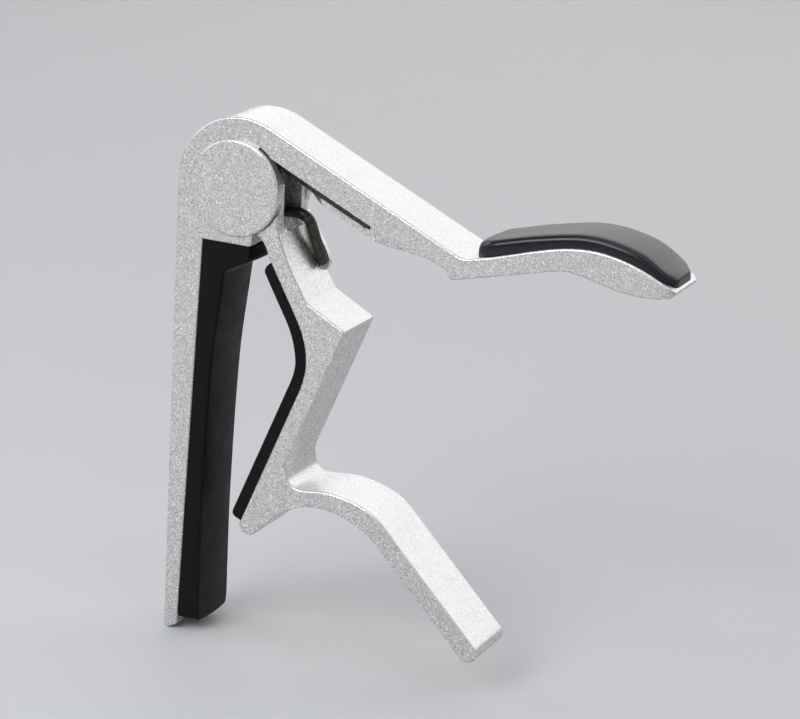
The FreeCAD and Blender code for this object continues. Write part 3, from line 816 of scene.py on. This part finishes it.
class CAPO_OT_spring(bpy.types.Operator):
    """Winds the torsion spring, whose legs reach the frame and the lever"""
    bl_idname = "capo.spring"
    bl_label = "Torsion spring"

    def execute(self, context):
        sizes = context.scene.capo_sizes
        reach = sizes.coil_pitch * COIL_TURNS / 2
        slope = sizes.coil_pitch / (2 * math.pi * sizes.coil)
        coil = []
        for step in range(COIL_STEPS + 1):
            turn = 2 * math.pi * COIL_TURNS * step / COIL_STEPS
            along = -reach + 2 * reach * step / COIL_STEPS
            coil.append(Vector((-sizes.coil * math.sin(turn), along, sizes.coil * math.cos(turn))))
        arm_start, arm_bend = (Vector(point) for point in ARM_LEG)
        arm_end = Vector((ARM_LEG_BEND_X, -reach - slope * ARM_LEG_BEND_X, sizes.coil))
        arm_leg = wire_path([arm_start, arm_bend, arm_end, coil[0]], sizes.wire_bend)
        lever_bend = Vector((LEVER_LEG_BEND_X, reach + slope * LEVER_LEG_BEND_X, LEVER_LEG_BEND_Z))
        lever_leg = wire_path([coil[-1], lever_bend, Vector(LEVER_LEG_END)], sizes.wire_bend)
        route = [place(*point) for point in arm_leg[:-1] + coil + lever_leg[1:]]
        piece = tube("torsion_spring_wire", route, sizes.wire * MM)
        shade_by_angle(piece, WIRE_CREASE)
        dress(piece, oxide_wire(context.scene.capo_finishes.spring))
        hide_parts("torsion_spring")
        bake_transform(piece)
        return {"FINISHED"}


class CAPO_OT_castings(bpy.types.Operator):
    """Gives the frame, the lever and the caps their satin silver"""
    bl_idname = "capo.castings"
    bl_label = "Castings and caps"

    def execute(self, context):
        finishes = context.scene.capo_finishes
        silver = satin_casting("silver_lacquer", finishes.casting, finishes)
        cap_silver = satin_casting("cap_lacquer", finishes.cap, finishes)
        for node in ("main_frame", "trigger_lever"):
            dress(frame["nodes"][node], silver)
        for node in ("front_cap", "back_cap"):
            dress(frame["nodes"][node], cap_silver)
        return {"FINISHED"}


class CAPO_OT_pivot(bpy.types.Operator):
    """Gives the pin, bushes, washers and sleeve their finishes"""
    bl_idname = "capo.pivot"
    bl_label = "Pivot"

    def execute(self, context):
        finishes = context.scene.capo_finishes
        dress(frame["nodes"]["pivot_pin"], turned_metal("ground_pin", finishes.pin, PIN_ROUGHNESS))
        brass = turned_metal("turned_bush", finishes.brass, BUSH_ROUGHNESS)
        nylon = moulded_nylon(finishes.nylon)
        for node in ("front_bush", "back_bush"):
            dress(frame["nodes"][node], brass)
        for node in ("front_washer", "back_washer", "spring_sleeve"):
            dress(frame["nodes"][node], nylon)
        return {"FINISHED"}


class CAPO_OT_stage(bpy.types.Operator):
    """Sets up the pale floor, the softboxes and the camera"""
    bl_idname = "capo.stage"
    bl_label = "Stage"

    def execute(self, context):
        studio = context.scene.capo_studio
        middle = (CAD_BOX[0] + CAD_BOX[1]) / 2
        studio_floor(middle, context.scene.capo_finishes)
        warm, cool = studio.warm, studio.cool
        softboxes = (
            ("back_softbox", BACK_PLACE, CAPO_AIM, BACK_SIZE, studio.back_power, warm),
            ("front_softbox", FRONT_PLACE, FRONT_AIM, FRONT_SIZE, studio.front_power, warm),
            ("left_softbox", LEFT_PLACE, CAPO_AIM, LEFT_SIZE, studio.left_power, cool),
            ("strip_softbox", STRIP_PLACE, CAPO_AIM, STRIP_SIZE, studio.strip_power, cool),
        )
        for name, where, aim, wide, watts, tint in softboxes:
            softbox(name, middle, where, aim, wide, watts, tint)
        pale_surround(studio.sky)
        place_camera(middle, studio)
        context.scene.view_settings.view_transform = "Standard"
        return {"FINISHED"}


def studio_floor(middle, finishes):
    """A round floor that curves up into a wall, which glows faintly."""
    profile = [(FLOOR_INNER_R, 0.0), (FLOOR_R, 0.0)]
    for step in range(1, SWEEP_STEPS + 1):
        turn = math.pi / 2 * step / SWEEP_STEPS
        profile.append((FLOOR_R + SWEEP_R * math.sin(turn), SWEEP_R * (1 - math.cos(turn))))
    profile.append((FLOOR_R + SWEEP_R, WALL_TOP))
    centre = Vector((middle.x, middle.y, FLOOR_Z))
    rings = []
    for radius, height in profile:
        ring = []
        for step in range(FLOOR_SIDES):
            turn = 2 * math.pi * step / FLOOR_SIDES
            ring.append(centre + Vector((radius * math.cos(turn), radius * math.sin(turn), height)))
        rings.append(ring)
    floor = loft("studio_floor", rings, close_ends=False)
    mesh = bmesh.new()
    mesh.from_mesh(floor.data)
    level = FLOOR_Z + SWEEP_R / 2
    rim = [edge for edge in mesh.edges if edge.is_boundary and edge.verts[0].co.z < level]
    bmesh.ops.contextual_create(mesh, geom=rim)
    bmesh.ops.recalc_face_normals(mesh, faces=mesh.faces)
    mesh.to_mesh(floor.data)
    mesh.free()
    finish = Finish("studio_floor", finishes.floor, metallic=0.0, roughness=FLOOR_ROUGHNESS)
    flat = finish.facing_up(WALL_TO_FLOOR)
    finish.use("Base Color", finish.mix(flat, finishes.wall, finishes.floor))
    finish.shader.inputs["Emission Color"].default_value = (*finishes.wall, 1.0)
    finish.use("Emission Strength", finish.facing_up(NONE_TO_FULL, (WALL_GLOW, 0.0)))
    dress(floor, finish.material)
    return floor


def softbox(name, middle, where, aim, wide, watts, tint):
    """A rectangular area light that faces the aim point."""
    data = bpy.data.lights.new(name, "AREA")
    data.shape = "RECTANGLE"
    data.size, data.size_y = wide
    data.energy = watts
    data.color = tint
    light = bpy.data.objects.new(name, data)
    light.location = middle + Vector(where)
    facing = Vector(aim) - Vector(where)
    light.rotation_euler = facing.to_track_quat("-Z", "Y").to_euler()
    bpy.context.scene.collection.objects.link(light)


def pale_surround(strength):
    """Lights the scene softly from all round."""
    world = bpy.data.worlds.new("pale_surround")
    world.use_nodes = True
    background = world.node_tree.nodes["Background"]
    background.inputs["Color"].default_value = (*SKY_TINT, 1.0)
    background.inputs["Strength"].default_value = strength
    bpy.context.scene.world = world


def place_camera(middle, studio):
    """Sets the camera round the capo's middle, from its azimuth, elevation and roll."""
    back = Vector((math.sin(studio.azimuth) * math.cos(studio.elevation),
                   -math.cos(studio.azimuth) * math.cos(studio.elevation),
                   math.sin(studio.elevation)))
    level = Vector((math.cos(studio.azimuth), math.sin(studio.azimuth), 0.0))
    upright = back.cross(level)
    right = level * math.cos(studio.roll) + upright * math.sin(studio.roll)
    up = upright * math.cos(studio.roll) - level * math.sin(studio.roll)
    aim = middle + level * studio.aim_right + upright * studio.aim_up
    data = bpy.data.cameras.new("camera")
    data.lens = studio.lens
    data.sensor_width = SENSOR_MM
    data.clip_start = NEAREST_SEEN
    data.clip_end = FURTHEST_SEEN
    camera = bpy.data.objects.new("camera", data)
    turn = Matrix((right, up, back)).transposed().to_4x4()
    camera.matrix_world = Matrix.Translation(aim + back * studio.distance) @ turn
    bpy.context.scene.collection.objects.link(camera)
    bpy.context.scene.camera = camera


class CAPO_PT_panel(bpy.types.Panel):
    """Lists the capo's pieces, sizes and finishes in the sidebar"""
    bl_idname = "CAPO_PT_panel"
    bl_label = "Guitar capo"
    bl_space_type = "VIEW_3D"
    bl_region_type = "UI"
    bl_category = "Capo"

    def draw(self, context):
        layout = self.layout
        scene = context.scene
        for operator in OPERATORS:
            layout.operator(operator.bl_idname)
        for group in (scene.capo_sizes, scene.capo_finishes, scene.capo_studio):
            column = layout.column()
            for name in group.__annotations__:
                column.prop(group, name)


OPERATORS = (
    CAPO_OT_string_pad,
    CAPO_OT_saddle_pad,
    CAPO_OT_handle_grip,
    CAPO_OT_spring,
    CAPO_OT_castings,
    CAPO_OT_pivot,
    CAPO_OT_stage,
)
CLASSES = (CapoSizes, CapoFinishes, CapoStudio, *OPERATORS, CAPO_PT_panel)


def register():
    """Adds the classes and the scene's three groups of settings."""
    for kind in CLASSES:
        bpy.utils.register_class(kind)
    bpy.types.Scene.capo_sizes = PointerProperty(type=CapoSizes)
    bpy.types.Scene.capo_finishes = PointerProperty(type=CapoFinishes)
    bpy.types.Scene.capo_studio = PointerProperty(type=CapoStudio)


def unregister():
    """Takes away what register added."""
    del bpy.types.Scene.capo_studio
    del bpy.types.Scene.capo_finishes
    del bpy.types.Scene.capo_sizes
    for kind in reversed(CLASSES):
        bpy.utils.unregister_class(kind)


def main():
    """Makes every piece and the stage."""
    register()
    bpy.ops.capo.string_pad()
    bpy.ops.capo.saddle_pad()
    bpy.ops.capo.handle_grip()
    bpy.ops.capo.spring()
    bpy.ops.capo.castings()
    bpy.ops.capo.pivot()
    bpy.ops.capo.stage()


if __name__ == "__main__":
    main()
